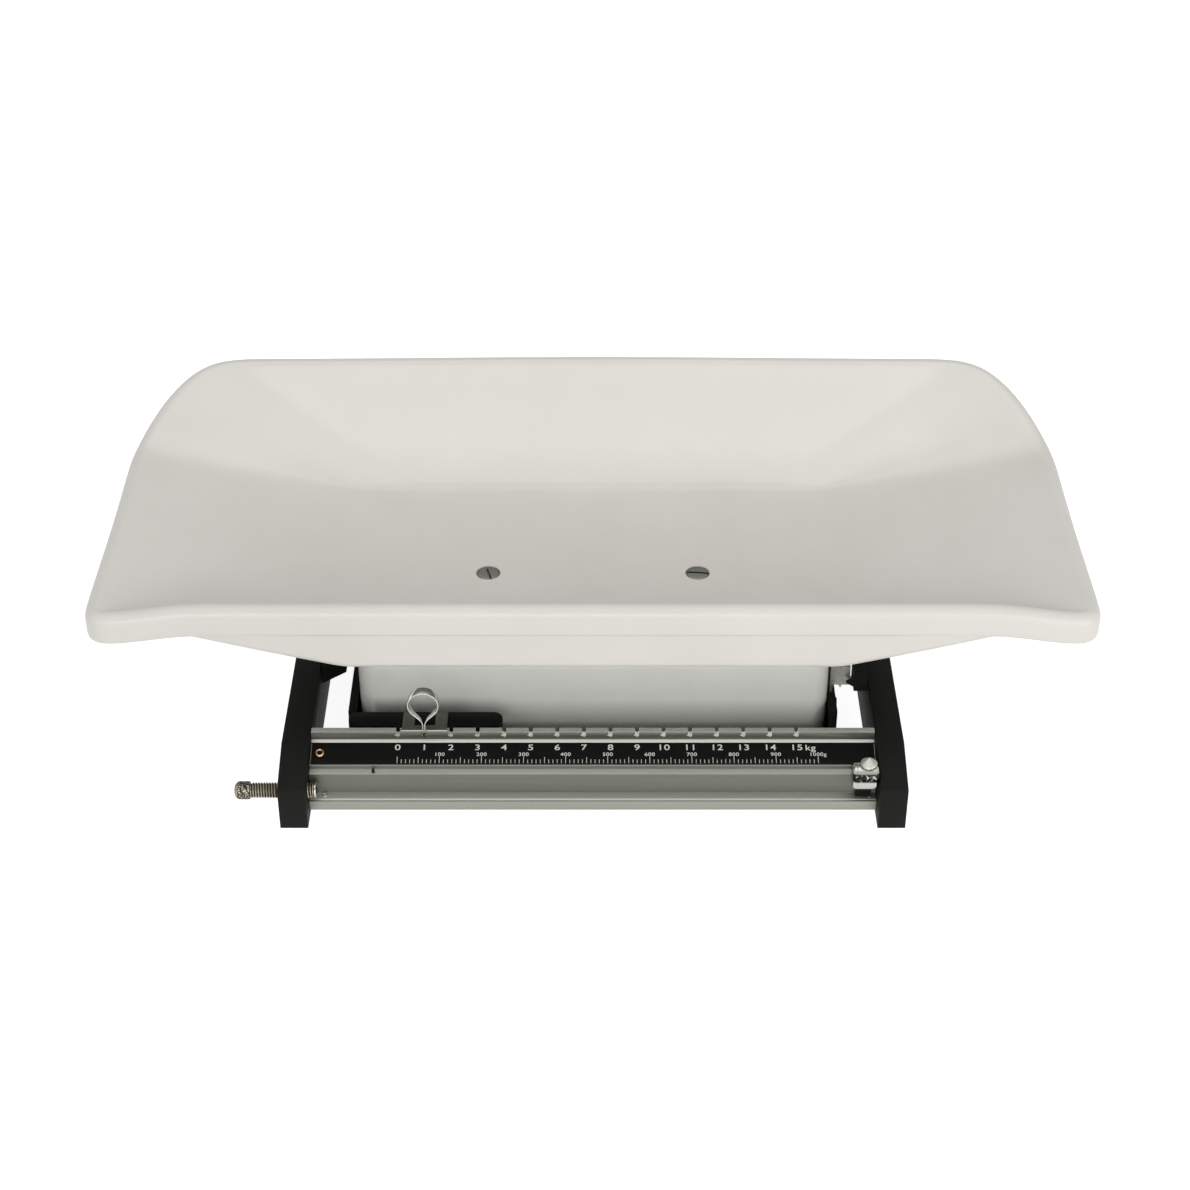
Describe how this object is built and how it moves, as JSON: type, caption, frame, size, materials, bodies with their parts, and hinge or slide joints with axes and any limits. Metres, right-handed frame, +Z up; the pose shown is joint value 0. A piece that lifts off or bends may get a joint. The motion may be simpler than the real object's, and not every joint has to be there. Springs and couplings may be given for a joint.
{
  "type": "baby scale",
  "caption": "Mechanical baby scale: white moulded tray on a lever base, with a U-shaped weighbeam that carries a large and a small sliding poise.",
  "frame": {"origin": "on the ground under the feet, midway along the tray and midway between the front of the arms and the back of the tray", "axes": "+X along the weighbeam towards the balance index, +Y towards the high back of the tray, +Z up"},
  "size_m": [0.55, 0.269, 0.1545],
  "materials": {
    "tray_plastic": "satin moulded plastic, warm white",
    "white_enamel": "gloss stove enamel on sheet steel, light grey white",
    "black_enamel": "satin black enamel on sheet steel",
    "weight_steel": "satin black paint on a steel weight",
    "aluminium_rail": "extruded and anodised",
    "printed_plate": "black printed aluminium plate, white figures",
    "brass_eyelet": "plain brass",
    "galvanised_steel": "zinc plated sheet",
    "chrome": "polished chrome plate",
    "nickel_screws": "nickel plated steel",
    "hard_steel": "ground hardened steel",
    "lever_steel": "plain rolled steel",
    "foot_rubber": "moulded rubber"
  },
  "bodies": {
    "base": {"chassis_pan": "black_enamel", "base_cover": "white_enamel", "foot_1": "foot_rubber", "foot_2": "foot_rubber", "foot_3": "foot_rubber", "foot_4": "foot_rubber", "cover_screw_1": "nickel_screws", "cover_screw_2": "nickel_screws", "cover_screw_3": "nickel_screws", "cover_screw_4": "nickel_screws", "beam_bearing_front": "hard_steel", "beam_bearing_rear": "hard_steel", "long_lever_bearing_front": "hard_steel", "long_lever_bearing_rear": "hard_steel", "short_lever_bearing_front": "hard_steel", "short_lever_bearing_rear": "hard_steel", "index_bracket": "galvanised_steel", "index_bracket_screw": "nickel_screws"},
    "beam_frame": {"left_arm": "black_enamel", "right_arm": "black_enamel", "beam_rail": "aluminium_rail", "scale_plate": "printed_plate", "plate_eyelet": "brass_eyelet", "poise_stop_pin": "hard_steel", "rear_crossbar": "black_enamel", "rear_fulcrum_knife": "hard_steel", "front_fulcrum_bracket": "black_enamel", "front_fulcrum_knife": "hard_steel", "left_arm_boss": "black_enamel", "beam_load_knife": "hard_steel", "balance_pointer": "black_enamel"},
    "large_poise": {"poise_weight": "weight_steel", "poise_saddle": "galvanised_steel", "poise_ring": "chrome"},
    "small_poise": {"small_poise_weight": "chrome", "small_poise_shoe": "hard_steel", "small_poise_knob": "chrome"},
    "adjuster_collar": {"adjuster_collar": "nickel_screws"},
    "adjuster_screw": {"adjuster_screw": "nickel_screws"},
    "long_lever": {"long_lever": "lever_steel", "long_fulcrum_knife": "hard_steel", "long_load_knife": "hard_steel", "nose_knife": "hard_steel", "long_link_knife": "hard_steel"},
    "short_lever": {"short_lever": "lever_steel", "short_fulcrum_knife": "hard_steel", "short_load_knife": "hard_steel", "short_link_knife": "hard_steel"},
    "nose_link": {"nose_link": "hard_steel"},
    "centre_link": {"centre_link": "hard_steel"},
    "platform": {"carrier_bearing_right": "hard_steel", "carrier_bearing_left": "hard_steel", "carrier_plate": "lever_steel", "tray_post_left": "galvanised_steel", "tray_post_right": "galvanised_steel", "rubber_washer_left": "foot_rubber", "rubber_washer_right": "foot_rubber", "tray_screw_left": "chrome", "tray_screw_right": "chrome", "tray": "tray_plastic"}
  },
  "joints": [
    {"name": "beam_tilt", "type": "hinge", "parent": "base", "child": "beam_frame", "pos_m": [-0.105, 0, 0.02], "axis": [0, 1, 0], "range_deg": [-2, 0]},
    {"name": "large_poise_slide", "type": "slide", "parent": "beam_frame", "child": "large_poise", "axis": [1, 0, 0], "range_m": [-0.0148, 0.2072]},
    {"name": "small_poise_slide", "type": "slide", "parent": "beam_frame", "child": "small_poise", "axis": [1, 0, 0], "range_m": [-0.2625, 0]},
    {"name": "adjuster_slide", "type": "slide", "parent": "beam_frame", "child": "adjuster_collar", "axis": [1, 0, 0], "range_m": [-0.0023, 0.0076]},
    {"name": "adjuster_turn", "type": "hinge", "parent": "adjuster_collar", "child": "adjuster_screw", "pos_m": [-0.17, -0.1235, 0.0265], "axis": [1, 0, 0], "range_deg": [-540, 1800]},
    {"name": "long_lever_tilt", "type": "hinge", "parent": "base", "child": "long_lever", "pos_m": [0.1, 0, 0.0187], "axis": [0, 1, 0], "range_deg": [-0.37, 0]},
    {"name": "short_lever_tilt", "type": "hinge", "parent": "base", "child": "short_lever", "pos_m": [-0.1, 0, 0.0187], "axis": [0, 1, 0], "range_deg": [0, 0.37]},
    {"name": "nose_link_swing", "type": "hinge", "parent": "beam_frame", "child": "nose_link", "pos_m": [-0.15, 0, 0.04], "axis": [0, 1, 0], "range_deg": [0, 2.05]},
    {"name": "centre_link_swing", "type": "hinge", "parent": "long_lever", "child": "centre_link", "pos_m": [0, 0, 0.0333], "axis": [0, 1, 0], "range_deg": [0, 0.37]},
    {"name": "platform_sink", "type": "slide", "parent": "base", "child": "platform", "axis": [0, 0, 1], "range_m": [-0.00016, 0]}
  ],
  "couplings": [
    {"joint": "long_lever_tilt", "follows": "beam_tilt", "ratio": 0.18},
    {"joint": "short_lever_tilt", "follows": "beam_tilt", "ratio": -0.18},
    {"joint": "nose_link_swing", "follows": "beam_tilt", "ratio": -1},
    {"joint": "centre_link_swing", "follows": "beam_tilt", "ratio": -0.18},
    {"joint": "platform_sink", "follows": "beam_tilt", "m_per_rad": 0.0045},
    {"joint": "adjuster_slide", "follows": "adjuster_turn", "m_per_rad": 0.00023873}
  ]
}
